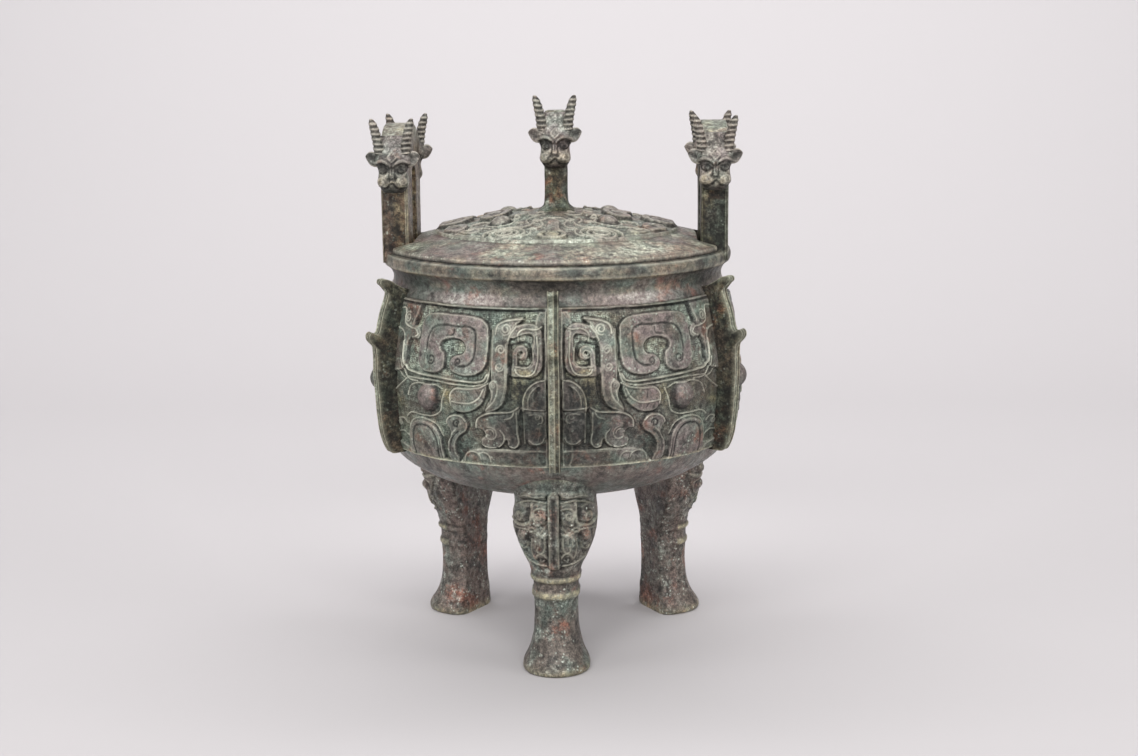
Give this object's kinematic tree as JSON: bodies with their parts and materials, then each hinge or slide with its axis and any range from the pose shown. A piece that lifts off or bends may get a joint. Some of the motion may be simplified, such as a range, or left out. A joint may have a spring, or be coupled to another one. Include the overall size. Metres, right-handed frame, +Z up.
{
  "type": "lidded bronze ding vessel",
  "caption": "Lidded bronze tripod vessel: round flanged bowl with mask relief, upright loop handles with horned heads, and a low domed lid with a post knob.",
  "frame": {"origin": "on the ground under the three feet, on the bowl's axis", "axes": "+Z up; -Y is the front, where one leg stands in the middle with a flange one degree to +X of it; the handles stand at -X and +X"},
  "size_m": [0.1942, 0.2164, 0.2834],
  "materials": {
    "vessel_bronze": "patinated bronze, grey green and dark brown, mostly matt",
    "lid_bronze": "patinated bronze, grey green with pale spots, mostly matt"
  },
  "bodies": {
    "root": {"vessel": "vessel_bronze", "lid": "lid_bronze"}
  },
  "joints": []
}
